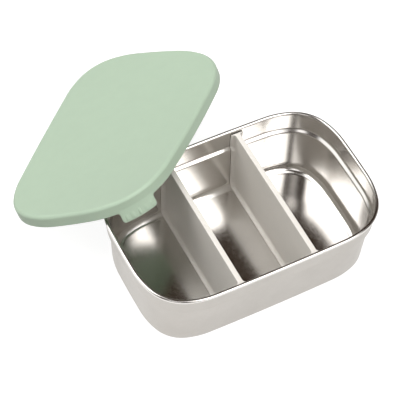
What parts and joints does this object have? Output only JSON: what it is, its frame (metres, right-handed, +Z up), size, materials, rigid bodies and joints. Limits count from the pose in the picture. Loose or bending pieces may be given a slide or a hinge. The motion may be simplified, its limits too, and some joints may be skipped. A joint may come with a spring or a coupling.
{
  "type": "bento lunch box",
  "caption": "Steel food container with a rolled rim, soft dividers across it, and a soft press-on lid with a pull tab, lying off the box against one corner.",
  "frame": {"origin": "middle of the container's flat base, on the surface it stands on", "axes": "+X along the container, +Y away from its long front side, +Z up"},
  "size_m": [0.2386, 0.2637, 0.0823],
  "materials": {
    "steel": "satin outside, mirror polished inside",
    "lid_silicone": "matte silicone, sage green",
    "divider_silicone": "matte silicone, warm light grey"
  },
  "bodies": {
    "box": {"container": "steel"},
    "lid": {"lid": "lid_silicone"},
    "left_divider": {"divider_left": "divider_silicone"},
    "right_divider": {"divider_right": "divider_silicone"}
  },
  "joints": [
    {"name": "lid_lift", "type": "slide", "parent": "box", "child": "lid", "axis": [0, 0, 1], "range_m": [0, 0.09]},
    {"name": "left_divider_slide", "type": "slide", "parent": "box", "child": "left_divider", "axis": [1, 0, 0], "range_m": [-0.007, 0.04]},
    {"name": "right_divider_lift", "type": "slide", "parent": "box", "child": "right_divider", "axis": [0, 0, 1], "range_m": [0, 0.09]}
  ]
}
